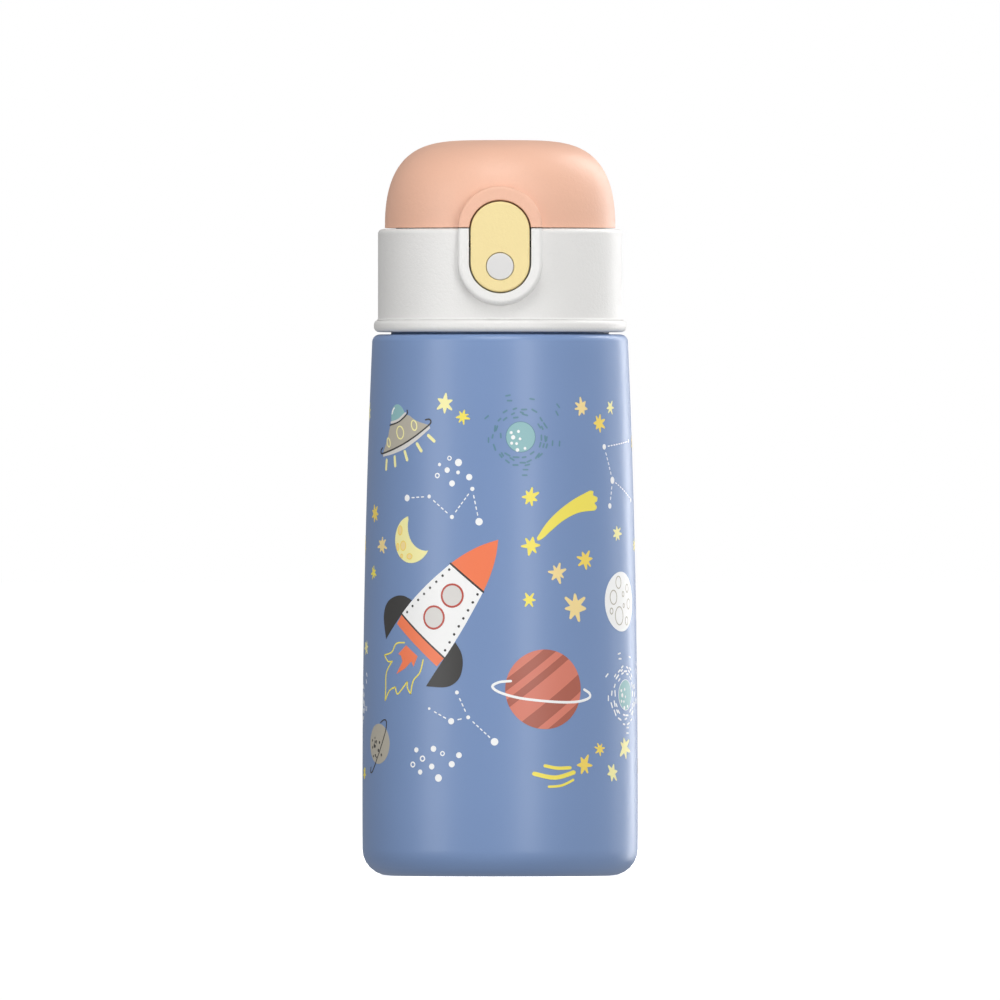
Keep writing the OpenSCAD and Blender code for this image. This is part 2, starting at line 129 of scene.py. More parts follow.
room = bpy.data.worlds.new("room")
scene.world = room
room.use_nodes = True
room.node_tree.nodes.clear()
sky = Shade(room.node_tree)
direction = sky.node("TexCoord", output="Generated")
rightward = sky.node("SeparateXYZ", None, {0: direction}, 0)
upward = sky.node("SeparateXYZ", None, {0: direction}, 2)
fill = (rightward * 0.12 - upward * 0.09 + 0.335).blend((0, 0, 0, 1), (1, 1, 1, 1))
seen = sky.node("LightPath", output="Is Camera Ray")
backing = seen.blend(fill, (1, 1, 1, 1))
sky.node("OutputWorld", None, {"Surface": sky.node("Background", None, {"Color": backing})})

floor_mesh = bmesh.new()
bmesh.ops.create_grid(floor_mesh, x_segments=4, y_segments=4, size=40)
floor = bpy.data.objects.new("floor", bpy.data.meshes.new("floor"))
floor_mesh.to_mesh(floor.data)
floor_mesh.free()
scene.collection.objects.link(floor)
floor_paper = bpy.data.materials.new("floor_paper")
floor_paper.use_nodes = True
floor_paper.node_tree.nodes.clear()
paper = Shade(floor_paper.node_tree)
fibres = paper.node("TexNoise", None, {"Vector": paper.node("TexCoord", output="Object"), "Scale": 900})
paper_surface = paper.node("BsdfPrincipled", None, {
    "Base Color": fibres.blend((0.93, 0.93, 0.93, 1), (0.96, 0.96, 0.96, 1)),
    "Roughness": 0.9, "Specular IOR Level": 0.1, "Emission Color": (1, 1, 1, 1), "Emission Strength": 0.75})
paper.node("OutputMaterial", None, {"Surface": paper_surface})
floor.data.materials.append(floor_paper)
floor.visible_diffuse = floor.visible_glossy = floor.visible_shadow = False

# ---------------------------------------------------------------------------
# Steel body. The outer wall is drawn stainless steel, 0.6 mm thick, tapering up to
# a flat shoulder, with its foot rolled in to a standing ring, in satin blue powder coat.
MM = 0.001
BODY_R = 35.0
SHOULDER_R = 32.45
SHOULDER_Z = 137.6
STRAIGHT_Z = 20.0
STEEL = 0.6
FOOT_R = 24.6
NECK_R = 27.3
UPSTAND_R, UPSTAND = NECK_R + 0.4, 1.3


def wall_radius(z):
    """The outer wall's radius at a height, in millimetres."""
    if z <= STRAIGHT_Z:
        return BODY_R
    return BODY_R - (BODY_R - SHOULDER_R) * ((z - STRAIGHT_Z) / (SHOULDER_Z - STRAIGHT_Z)) ** 2


def rounded(corners, steps=6):
    """Points of a half section. A corner (r, z, radius) becomes an arc."""
    line = []
    for i, corner in enumerate(corners):
        here = Vector(corner[:2])
        radius = corner[2] if len(corner) > 2 else 0
        if not radius:
            line.append(here)
            continue
        back = (Vector(corners[i - 1][:2]) - here).normalized()
        ahead = (Vector(corners[(i + 1) % len(corners)][:2]) - here).normalized()
        half = back.angle(ahead) / 2
        centre = here + (back + ahead).normalized() * radius / math.sin(half)
        first = here + back * radius / math.tan(half) - centre
        last = here + ahead * radius / math.tan(half) - centre
        start = math.atan2(first.y, first.x)
        sweep = (math.atan2(last.y, last.x) - start + math.pi) % math.tau - math.pi
        for k in range(steps + 1):
            angle = start + sweep * k / steps
            line.append(centre + Vector((math.cos(angle), math.sin(angle))) * radius)
    return line


def turned(corners, steps=192, closed=True, smooth=6):
    """A half section spun round the bottle's axis. An open one starts and ends on the axis."""
    bm = bmesh.new()
    line = [bm.verts.new((r, 0, z)) for r, z in rounded(corners, smooth)]
    edges = [bm.edges.new(pair) for pair in zip(line, line[1:])]
    if closed:
        edges.append(bm.edges.new((line[-1], line[0])))
    bmesh.ops.spin(bm, geom=line + edges, cent=(0, 0, 0), axis=(0, 0, 1),
                   angle=math.tau, steps=steps, use_merge=True)
    bmesh.ops.remove_doubles(bm, verts=bm.verts, dist=1e-4)
    bmesh.ops.recalc_face_normals(bm, faces=bm.faces)
    return bm


def piece(name, bm, body, material, slot, *nodes, sharp=35):
    """Brings a mesh from millimetres into the frame as a piece that rides on a body."""
    bmesh.ops.scale(bm, vec=(MM, MM, MM), verts=bm.verts)
    mesh = bpy.data.meshes.new(name)
    bm.to_mesh(mesh)
    bm.free()
    mesh.shade_smooth()
    mesh.set_sharp_from_angle(angle=math.radians(sharp))
    mesh.materials.append(material)
    made = bpy.data.objects.new(name, mesh)
    scene.collection.objects.link(made)
    if body:
        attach(made, body)
    if nodes:
        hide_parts(*nodes)
    return made


def new_material(name):
    made = bpy.data.materials.new(name)
    made.use_nodes = True
    made.node_tree.nodes.clear()
    return made, Shade(made.node_tree)


def coated(name, colour, rough=0.42, peel=0.55, depth=0.00004, cloud=0.03, coat=0.0, grain=0.16):
    """A paint or moulded surface with fine grain, faint cloudiness and uneven gloss.
    Peel and grain are the sizes of its coarse and fine texture in millimetres."""
    made, start = new_material(name)
    place = start.node("TexCoord", output="Object")
    coarse = start.node("TexNoise", None, {"Vector": place, "Scale": 1 / (peel * MM), "Detail": 2})
    fine = start.node("TexNoise", None, {"Vector": place, "Scale": 1 / (grain * MM), "Detail": 1})
    clouds = start.node("TexNoise", None, {"Vector": place, "Scale": 45, "Detail": 3})
    tone = clouds * 0.6 + fine * 0.4
    dark = tuple(c * (1 - cloud) for c in colour[:3]) + (1,)
    light = tuple(min(1, c * (1 + cloud)) for c in colour[:3]) + (1,)
    height = coarse * 0.6 + fine * 0.4
    bump = start.node("Bump", None, {"Height": height, "Distance": depth, "Strength": 0.6})
    surface = start.node("BsdfPrincipled", None, {
        "Base Color": tone.blend(dark, light),
        "Roughness": rough + (clouds - 0.5) * 0.1 + (fine - 0.5) * 0.12,
        "Normal": bump, "Coat Weight": coat, "Coat Roughness": 0.25})
    start.node("OutputMaterial", None, {"Surface": surface})
    return made


blue_coat = coated("blue_powder_coat", linear(123, 149, 193), rough=0.4, peel=0.7, depth=0.00003, coat=0.12)
outside = [(FOOT_R, 0, 0.25), (FOOT_R + 3, 0), (BODY_R, 0, 6.8)]
outside += [(wall_radius(z), z) for z in range(int(STRAIGHT_Z), int(SHOULDER_Z) - 3, 4)]
outside += [(SHOULDER_R, SHOULDER_Z, 1.9), (UPSTAND_R, SHOULDER_Z, 0.3), (UPSTAND_R, SHOULDER_Z + UPSTAND),
            (NECK_R, SHOULDER_Z + UPSTAND)]
inside = [(NECK_R, SHOULDER_Z - STEEL), (SHOULDER_R - STEEL, SHOULDER_Z - STEEL, 1.3)]
inside += [(wall_radius(z) - STEEL, z) for z in range(int(SHOULDER_Z) - 5, int(STRAIGHT_Z), -8)]
inside += [(BODY_R - STEEL, STEEL, 6.2), (FOOT_R + STEEL, STEEL), (FOOT_R + STEEL, 3), (FOOT_R, 3)]
piece("steel_body", turned(outside + inside), "vessel", blue_coat, "blue_paint", "outer_shell")


# ---------------------------------------------------------------------------
# Print. The space pattern is screen printed over the powder coat, one ink after the other.
# Each ink is a thin film; it is drawn flat in millimetres, then laid round the wall.
ROUND = 34.3  # the radius on which widths and degrees round the wall agree
DEGREE = ROUND * math.pi / 180
FILM, LAYER, SINK = 0.035, 0.016, 0.03
STRIP, BELT = 1.2, 9  # a film is cut this narrow and this low, to follow the wall


class Ink:
    """All the shapes that are printed in one colour."""

    def __init__(self, name, *colour):
        self.name, self.colour, self.flat = name, colour, bmesh.new()

    def patch(self, at, points, layer=0):
        """A filled outline."""
        corners = [self.flat.verts.new(at @ Vector((x, y, layer))) for x, y in points]
        self.flat.faces.new(corners)

    def spot(self, at, x, y, radius, tall=1.0, layer=0, steps=28):
        """A disc, or an oval that is so many times taller than it is wide."""
        shape = at @ Matrix.Translation((x, y, layer)) @ Matrix.Diagonal((1, tall, 1, 1))
        made = bmesh.ops.create_circle(self.flat, cap_ends=True, segments=steps, radius=radius, matrix=shape)
        return made["verts"]

    def ring(self, at, x, y, radius, width, tall=1.0, layer=0):
        """An outlined circle or oval."""
        face = self.spot(at, x, y, radius, tall, layer)[0].link_faces[:]
        bmesh.ops.inset_individual(self.flat, faces=face, thickness=width, use_even_offset=True)
        bmesh.ops.delete(self.flat, geom=face, context="FACES")

    def stroke(self, at, points, width, layer=0, steps=5):
        """A pen line through the points, with round ends."""
        line = curved(points, steps if len(points) > 2 else 1)
        sides = []
        for i, here in enumerate(line):
            along = (line[min(i + 1, len(line) - 1)] - line[max(i - 1, 0)]).normalized()
            sides.append(Vector((-along.y, along.x)) * width / 2)
        outline = [p + s for p, s in zip(line, sides)]
        outline += [line[-1] + turned_flat(sides[-1], -a) for a in (45, 90, 135)]
        outline += [p - s for p, s in reversed(list(zip(line, sides)))]
        outline += [line[0] - turned_flat(sides[0], -a) for a in (45, 90, 135)]
        self.patch(at, outline, layer)

    def lay(self):
        """Wraps the flat film round the wall and gives it its thickness."""
        bm = self.flat
        bm.normal_update()
        bmesh.ops.triangulate(bm, faces=bm.faces)
        for axis, step in ((Vector((1, 0, 0)), STRIP), (Vector((0, 1, 0)), BELT)):
            reach = [vert.co.dot(axis) for vert in bm.verts]
            for k in range(math.ceil(min(reach) / step), math.floor(max(reach) / step) + 1):
                bmesh.ops.bisect_plane(bm, geom=bm.verts[:] + bm.edges[:] + bm.faces[:], dist=1e-5,
                                       plane_co=axis * (k * step), plane_no=axis)
        film = bmesh.ops.extrude_face_region(bm, geom=bm.faces[:])["geom"]
        raised = {v for v in film if isinstance(v, bmesh.types.BMVert)}
        bm.normal_update()
        for vert in bm.verts:
            angle = vert.co.x / ROUND
            height = FILM + LAYER * vert.co.z if vert in raised else -SINK
            radius = wall_radius(vert.co.y) + height
            vert.co = (radius * math.sin(angle), -radius * math.cos(angle), vert.co.y)
        bmesh.ops.recalc_face_normals(bm, faces=bm.faces)
        ink = coated(self.name, linear(*self.colour), rough=0.44, peel=0.5, depth=0.00002, cloud=0.04)
        piece(self.name, bm, "vessel", ink, "blue_paint")


def turned_flat(vector, degrees):
    """A flat vector turned anticlockwise."""
    return Matrix.Rotation(math.radians(degrees), 2) @ vector


def curved(points, steps):
    """A smooth line through the points, which are pairs or vectors."""
    points = [Vector(p) for p in points]
    line = []
    for i in range(len(points) - 1):
        before, here, there, after = (points[max(i - 1, 0)], points[i], points[i + 1],
                                      points[min(i + 2, len(points) - 1)])
        for k in range(steps):
            t = k / steps
            line.append(0.5 * (2 * here + (there - before) * t
                               + (2 * before - 5 * here + 4 * there - after) * t ** 2
                               + (3 * here - before - 3 * there + after) * t ** 3))
    return line + [points[-1]]


def on_wall(azimuth, z, turn=0, size=1.0):
    """Where a drawing goes: its place round the wall and up it, its turn and its size."""
    return (Matrix.Translation((azimuth * DEGREE, z, 0)) @ Matrix.Rotation(math.radians(turn), 4, "Z")
            @ Matrix.Diagonal((size, size, 1, 1)))


white, pale = Ink("print_white", 251, 251, 250), Ink("print_pale_yellow", 252, 244, 174)
yellow, gold = Ink("print_yellow", 250, 233, 98), Ink("print_gold", 251, 221, 104)
sand, orange = Ink("print_sand", 251, 225, 158), Ink("print_orange", 249, 130, 88)
coal, red = Ink("print_charcoal", 62, 61, 60), Ink("print_red", 190, 78, 66)
teal, sea = Ink("print_teal", 146, 190, 193), Ink("print_sea_green", 98, 140, 158)
stone, mist = Ink("print_stone", 186, 180, 166), Ink("print_mist", 224, 221, 217)
rust, brick = Ink("print_rust", 221, 130, 110), Ink("print_brick", 178, 100, 83)
hand = random.Random(7)


def star(ink, azimuth, z, radius):
    """A hand-drawn star with six or seven blunt rays."""
    rays = hand.choice((6, 7, 6, 7))
    start, points = hand.uniform(0, 360), []
    for k in range(rays):
        middle = start + 360 * (k + hand.uniform(-0.16, 0.16)) / rays
        reach = radius * hand.uniform(0.84, 1.16)
        for turn, out in ((-5.5, 0.95), (0, 1.02), (5.5, 0.95)):
            points.append(turned_flat(Vector((reach * out, 0)), middle + turn))
        points.append(turned_flat(Vector((radius * hand.uniform(0.44, 0.52), 0)), middle + 180 / rays))
    ink.patch(on_wall(azimuth, z), points)


def dashes(ink, at, start, end, width=0.3, dash=0.75, gap=0.6):
    """A broken pen line from one point to another."""
    start, end = Vector(start), Vector(end)
    count = max(1, round((end - start).length / (dash + gap)))
    for k in range(count):
        here = start.lerp(end, (k + 0.28) / count)
        there = start.lerp(end, (k + 0.72) / count)
        ink.stroke(at, (here, there), width)


def constellation(places, links, sizes):
    """Stars as dots, joined by broken lines."""
    spots = [Vector((azimuth * DEGREE, z)) for azimuth, z in places]
    flat = Matrix.Identity(4)
    for place, size in zip(spots, sizes):
        white.spot(flat, place.x, place.y, size)
    for first, second in links:
        way = (spots[second] - spots[first]).normalized()
        dashes(white, flat, spots[first] + way * 1.3, spots[second] - way * 1.3)


def speckle(at, dots, rings=()):
    """A loose group of snow-white dots, and a few small rings."""
    for x, y, radius in dots:
        white.spot(at, x, y, radius)
    for x, y, radius in rings:
        white.ring(at, x, y, radius, radius * 0.45)


def halo(ink, at, radii, width):
    """Short strokes that circle round a planet."""
    for radius in radii:
        count = round(radius * 2.5)
        for k in range(count):
            if hand.random() < 0.12:
                continue
            angle = 360 * (k + hand.uniform(-0.2, 0.2)) / count
            middle = turned_flat(Vector((radius + hand.uniform(-0.35, 0.35), 0)), angle)
            half = turned_flat(Vector((0, hand.uniform(0.35, 0.75))), angle + hand.uniform(-12, 12))
            ink.stroke(at, (middle - half, middle + half), width)


def crescent(azimuth, z, size=1.0, turn=0):
    """A young moon with craters."""
    at = on_wall(azimuth, z, turn, size)
    outer = [turned_flat(Vector((6, 0)), 103 + 229 * k / 30) for k in range(31)]
    inner = [Vector((4.9, 3.4)) + turned_flat(Vector((6.3, 0)), 272 - 113 * k / 20) for k in range(1, 20)]
    pale.patch(at, outer + inner)
    for x, y, radius, tall in ((-4.1, 2.3, 0.85, 1.5), (-2.9, -1.6, 1.1, 1.2), (-4.9, -1.9, 0.6, 1.7),
                               (-3.4, -4.2, 0.5, 1.2), (-0.6, -4.3, 1.0, 0.8)):
        sand.spot(at, x, y, radius, tall, layer=1)
        gold.ring(at, x, y, radius, 0.24, tall, layer=2)


def full_moon(azimuth, z, size=1.0):
    """A white moon with outlined craters."""
    at = on_wall(azimuth, z, 0, size)
    white.spot(at, 0, 0, 7.6, steps=56)
    for x, y, radius in ((-1.4, 4.9, 1.46), (-3.9, 1.1, 1.68), (1.0, 1.9, 0.67), (-4.9, -2.4, 0.78),
                         (3.6, 3.4, 1.01), (-1.2, -3.6, 2.13), (4.5, -0.6, 1.23), (3.0, -4.9, 1.01),
                         (1.3, -1.0, 0.56)):
        stone.ring(at, x, y, radius, 0.28, 1.15, layer=1)


def comet(azimuth, z, size=1.0, turn=0):
    """A shooting star with one broad tail that ends in three lobes."""
    at = on_wall(azimuth, z, turn, size)
    top = curved(((1.5, 1.9), (4.2, 5.7), (7.8, 9.0), (12.3, 11.8), (17.3, 13.9)), 5)
    tail = curved(((17.3, 13.9), (18.5, 13.7), (18.5, 12.7), (19.9, 12.2), (19.8, 11.2),
                   (18.9, 10.7), (19.7, 9.8), (19.2, 9.0), (18.4, 8.8)), 4)
    under = curved(((18.4, 8.8), (13.6, 8.3), (9.2, 6.5), (5.6, 3.9), (3.0, 1.7), (1.7, 1.2)), 5)
    yellow.patch(at, top + tail[1:] + under[1:])


def striped_planet(azimuth, z, size=1.0, turn=0):
    """A red planet with slanting stripes and one thin ring."""
    at = on_wall(azimuth, z, turn, size)
    rust.spot(at, 0, 0, 10.1, steps=72)
    for low, high in ((5.7, 8.1), (2.0, 3.9), (-6.6, -2.8), (-10.2, -8.4)):
        drawing = bmesh.new()
        bmesh.ops.create_circle(drawing, cap_ends=True, segments=72, radius=10.1)
        for height, keep in ((low, 1), (high, -1)):
            whole = drawing.verts[:] + drawing.edges[:] + drawing.faces[:]
            bmesh.ops.bisect_plane(drawing, geom=whole, dist=1e-5, plane_co=(0, height, 0),
                                   plane_no=(0, -keep, 0), clear_outer=True)
        stripe = [vert.co.xy for vert in drawing.faces[:][0].verts]
        brick.patch(at @ Matrix.Rotation(math.radians(38), 4, "Z"), stripe, layer=1)
        drawing.free()
    white.stroke(at, [(-8.7, 2.1), (-11.6, 1.8), (-13.3, 0.7), (-11.4, -0.8), (-6.5, -2.2), (0, -3.0),
                      (6, -3.3), (10.2, -3.0), (12.9, -2.1), (12.8, -1.0), (11.2, -0.1)], 0.65, layer=2)


def ringed_planet(azimuth, z, size=1.0):
    """A small grey planet with a dark hoop and specks."""
    at = on_wall(azimuth, z, 0, size)
    stone.spot(at, 0, 0, 5.1, steps=48)
    coal.stroke(at, [(1.0, 5.4), (2.6, 6.1), (3.7, 5.6), (3.3, 3.2), (1.2, -0.8), (-1.4, -4.6), (-3.7, -7.1),
                     (-4.8, -7.2), (-4.6, -6.0)], 0.32, layer=1)
    for _ in range(22):
        x, y = hand.uniform(-3.9, 2.6), hand.uniform(-3.8, 1.6)
        if x * x + y * y < 19 and abs(x * 0.86 - y * 0.5 - 1.4) > 0.6:
            coal.spot(at, x, y, hand.uniform(0.2, 0.38), 1.3, layer=1, steps=10)


def dotted_planet(azimuth, z, ring_ink, size=1.0):
    """A small sea-coloured planet with snow-white dots and strokes all round it."""
    at = on_wall(azimuth, z, 0, size)
    teal.spot(at, 0, 0, 3.8, steps=44)
    ring_ink.ring(at, 0, 0, 3.95, 0.15, layer=1)
    for x, y, radius in ((-2.5, 1.1, 0.4), (-0.6, 1.4, 0.38), (-2.0, -0.1, 0.55), (-0.2, -0.5, 0.36),
                         (-2.4, -1.6, 0.38), (-1.1, -1.7, 0.36), (-0.9, -3.3, 0.48), (1.1, -2.9, 0.36)):
        white.spot(at, x, y, radius, layer=2, steps=16)
    halo(ring_ink, at, (5.4, 6.3, 7.3), 0.46)
    for x, y, turn in ((-3.3, 10.5, 10), (-2.9, 9.2, 0), (3.1, 9.6, -10), (-8.9, 5.0, 40), (-8.4, -0.8, 90),
                       (8.6, -1.6, 85), (10.6, -1.7, 85), (10.4, 7.9, -50), (10.0, 6.0, -60), (1.2, -8.3, 0),
                       (1.0, -9.7, 0)):
        half = turned_flat(Vector((0.55, 0)), turn)
        ring_ink.stroke(at, [(x - half.x, y - half.y), (x + half.x, y + half.y)], 0.42)


def saucer(azimuth, z, turn, size=1.0):
    """A flying saucer with a glass dome, three lamps and five beams under it."""
    at = on_wall(azimuth, z, turn, size)
    brim = curved(((-9.6, 0), (-5, -0.95), (0, -1.3), (5, -0.95), (9.6, 0)), 6)
    lip = [p + Vector((0, -1.35 + 0.04 * abs(p.x))) for p in brim]
    mist.patch(at, brim + lip[::-1])
    shoulder = curved(((9.4, 0), (6.0, 2.6), (3.5, 5.2), (0, 4.8), (-3.5, 5.2), (-6.0, 2.6), (-9.4, 0)), 4)
    stone.patch(at, brim[1:-1] + shoulder)
    arc = [math.pi * k / 24 for k in range(25)]
    glass = [(2.9 * math.cos(angle), 5.6 + 3.7 * math.sin(angle)) for angle in arc]
    teal.patch(at, glass + [(0, 5.1)])
    mist.stroke(at, [(-3.1, 5.75), (0, 5.2), (3.1, 5.75)], 0.6, layer=1)
    coal.stroke(at, [(-3.9, 5.3), (0, 4.7), (3.5, 5.3), (4.0, 6.2)], 0.35, layer=2)
    coal.stroke(at, [(-9.4, 1.3), (-10.3, 0.9), (-9.9, 0), (-5, -0.95), (0, -1.3), (5, -0.95), (9.9, 0.1),
                     (10.2, 1.2), (9.0, 1.6)], 0.4, layer=2)
    white.stroke(at, [(-2.0, 7.7), (-1.3, 8.4), (-0.6, 8.7)], 0.45, layer=2)
    for x, y, radius, tall in ((-5.9, 1.4, 0.85, 1.6), (-0.4, 1.9, 1.5, 1.2), (5.0, 1.7, 1.05, 1.4)):
        pale.ring(at, x, y, radius, 0.34, tall, layer=2)
    for x, lean in ((-8.3, -26), (-4.6, -14), (-0.4, 2), (4.3, 16), (8.4, 30)):
        top = Vector((x, -3.3 + 0.012 * x * x))
        foot = top + turned_flat(Vector((0, -2.3)), lean)
        pale.stroke(at, (top, foot), 0.85)


def rocket(azimuth, z, turn, size=1.0):
    """A rocket with an orange nose, two portholes, riveted sides, two fins and a forked flame."""
    at = on_wall(azimuth, z, turn, size)
    side = curved(((8.7, 0), (8.15, 5), (7.25, 11), (5.6, 19.3)), 5)
    nose = curved(((5.6, 19.3), (4.3, 23.6), (2.4, 28.0), (0, 31.9)), 5)
    white.patch(at, side + [(-x, y) for x, y in side[::-1]])
    orange.patch(at, nose + [(-x, y) for x, y in nose[-2::-1]])
    orange.patch(at, [(-8.4, -3.0), (8.4, -3.0), (8.6, 0), (-8.6, 0)])
    coal.stroke(at, [(-5.6, 19.3), (5.6, 19.3)], 0.5, layer=1)
    coal.stroke(at, [(-8.6, 0), (8.6, 0)], 0.42, layer=1)
    fin = curved(((8.3, 4.9), (11.2, 3.9), (13.5, 1.8), (15.0, -1.6), (13.9, -5.2), (9.3, -8.8)), 5)
    for flipped in (1, -1):
        coal.patch(at, [(p.x * flipped, p.y) for p in fin[::flipped]], layer=2)
        for k in range(8):
            spot = side[1].lerp(side[-1], (k + 0.4) / 8)
            coal.spot(at, flipped * (spot.x - 0.95), spot.y, 0.34, layer=1, steps=12)
    for x, y in ((0, 13.4), (-0.3, 5.9)):
        mist.spot(at, x, y, 2.7, layer=1, steps=40)
        red.ring(at, x, y, 3.1, 0.5, layer=2)
    orange.patch(at, [(-2.3, -5.0), (2.4, -4.7), (3.1, -7.6), (1.7, -7.0), (1.3, -9.6), (-0.2, -12.8),
                      (-0.6, -9.0), (-1.9, -8.2), (-3.0, -8.4)])
    for fork in (((-3.2, -4.9), (-5.3, -7.0), (-5.3, -9.8), (-7.2, -12.4)),
                 ((-7.2, -12.4), (-5.0, -12.6), (-3.6, -11.4)),
                 ((-3.6, -11.4), (-3.6, -15.2), (-1.4, -18.2), (0.6, -20.9)),
                 ((0.6, -20.9), (0.4, -17.8), (1.6, -15.6)),
                 ((1.6, -15.6), (3.4, -16.4), (3.9, -13.6), (4.0, -11.8)),
                 ((4.0, -11.8), (5.2, -13.0), (6.9, -13.4)),
                 ((6.9, -13.4), (5.4, -10.4), (5.6, -7.4), (4.3, -4.3))):
        yellow.stroke(at, fork, 0.36)


saucer(-47.5, 111, 22)
rocket(-35, 61, -40)
crescent(-41, 85.5)
striped_planet(19, 47.5)
comet(13.3, 84)
full_moon(63, 69.7)
ringed_planet(-61.8, 33.6)
dotted_planet(9, 111.5, sea)
dotted_planet(66, 46, white)
constellation(((-44, 96), (-32, 96.4), (-21, 91.2), (-12, 98.3), (-9, 90)),
              ((0, 1), (1, 2), (2, 3), (3, 4)), (0.85, 0.5, 0.55, 0.55, 0.95))
constellation(((52, 109), (77, 110.5), (57.5, 100.5), (55, 94), (78, 95.5)),
              ((0, 1), (0, 2), (2, 3), (2, 4)), (0.7, 0.5, 0.9, 0.7, 0.6))
constellation(((-18.3, 46.7), (-13.4, 40.4), (-20.8, 39.4), (-31, 42.6), (-2.3, 34.2)),
              ((0, 1), (1, 2), (2, 3), (1, 4)), (0.5, 0.5, 0.8, 0.35, 0.95))
speckle(on_wall(-22.1, 103.5),
        ((2.3, 1.5, 0.95), (-3.0, 1.0, 0.45), (-0.8, -0.4, 0.72), (2.2, -1.0, 0.5), (5.2, -2.2, 0.82),
         (0.6, -3.8, 0.78)), ((-0.2, 2.6, 0.62), (-3.6, -1.8, 0.7)))
speckle(on_wall(-29.2, 29.8),
        ((-4.9, 2.3, 0.65), (0.2, 2.6, 0.78), (7.1, 1.0, 0.75), (5.2, -1.3, 0.8), (-0.3, -1.9, 0.75),
         (-3.7, -3.3, 0.65), (1.6, -4.8, 0.95)), ((2.7, 1.4, 0.65), (-3.0, 0.1, 0.8), (-6.0, -1.4, 0.78)))
for width, line in ((0.85, ((19, 28.1), (24.5, 27.5), (30.5, 27.6))),
                    (1.1, ((14.3, 26.1), (23.5, 25.1), (32.3, 26.4))),
                    (0.62, ((20.7, 22.8), (26.5, 23.1), (32, 24.5)))):
    yellow.stroke(on_wall(0, 0), [(azimuth * DEGREE, z) for azimuth, z in line], width)
for ink, azimuth, z, radius in (
        (pale, -25, 120, 2.5), (yellow, -16.5, 116.6, 1.8), (yellow, 13, 96.2, 2.3), (sand, 38.5, 119, 2.4),
        (pale, 57.5, 119, 1.7), (gold, 49, 115, 2.4), (gold, -69, 92, 2.4), (sand, -61, 84, 2.3),
        (yellow, -69, 77, 1.7), (pale, 60.5, 87, 2.3), (gold, 39, 80.3, 2.5), (sand, 25, 77, 2.5),
        (yellow, 12.3, 70.2, 1.8), (sand, 33.5, 68.3, 3.6), (yellow, 13.3, 83.9, 2.4),
        (gold, 37.6, 28.3, 2.5), (gold, 46.4, 32.3, 1.7), (pale, 65, 32.6, 3.0), (pale, 54.6, 26.3, 2.5)):
    star(ink, azimuth, z, radius)

# The side that is away from the button carries the same kinds of drawing.
saucer(148, 104, -14)
rocket(-128, 58, 24, 0.92)
crescent(106, 88, 0.95, 20)
striped_planet(158, 46, 0.95, -16)
comet(176, 86, 0.9, 6)
full_moon(-104, 104, 0.85)
ringed_planet(112, 32)
dotted_planet(-150, 108, sea)
dotted_planet(-92, 44, white, 0.9)
constellation(((118, 118), (128, 112), (120, 104), (132, 98)), ((0, 1), (1, 2), (2, 3)), (0.8, 0.5, 0.6, 0.9))
constellation(((-172, 70), (-164, 76), (-166, 64), (-178, 58)), ((0, 1), (0, 2), (2, 3)),
              (0.9, 0.5, 0.6, 0.7))
constellation(((88, 66), (98, 60), (92, 52), (104, 48)), ((0, 1), (1, 2), (2, 3)), (0.6, 0.8, 0.5, 0.7))
speckle(on_wall(-123, 24),
        ((2.3, 1.5, 0.9), (-3.0, 1.0, 0.45), (-0.8, -0.4, 0.7), (5.2, -2.0, 0.8), (0.6, -3.6, 0.75)),
        ((-0.2, 2.6, 0.6), (-3.6, -1.8, 0.7)))
speckle(on_wall(128, 71), ((2.0, 1.8, 0.8), (-2.8, 0.6, 0.5), (0.2, -1.2, 0.7), (4.6, -1.6, 0.6)),
        ((-1.0, 3.2, 0.65),))
for ink, azimuth, z, radius in (
        (gold, 88, 110, 2.2), (sand, 96, 76, 2.4), (yellow, 84, 84, 1.7), (pale, 132, 84, 2.2),
        (yellow, 142, 70, 1.8), (sand, 168, 118, 2.3), (gold, -176, 104, 2.0), (yellow, 176, 86, 2.3),
        (pale, -160, 92, 2.4), (gold, -140, 94, 1.8), (sand, -122, 112, 2.2), (yellow, -130, 120, 1.7),
        (pale, -86, 118, 2.3), (gold, -88, 84, 2.3), (yellow, -98, 76, 1.7), (sand, -100, 64, 2.3),
        (pale, -78, 58, 2.1), (yellow, -80, 26, 1.8), (gold, -104, 28, 2.3), (sand, -146, 30, 2.4),
        (pale, -166, 40, 2.3), (yellow, -176, 28, 1.8), (gold, 136, 28, 2.4), (pale, 126, 50, 2.1),
        (sand, 92, 28, 2.3), (gold, 184, 62, 1.9)):
    star(ink, azimuth, z, radius)
for ink in (white, pale, yellow, gold, sand, orange, coal, red, teal, sea, stone, mist, rust, brick):
    ink.lay()


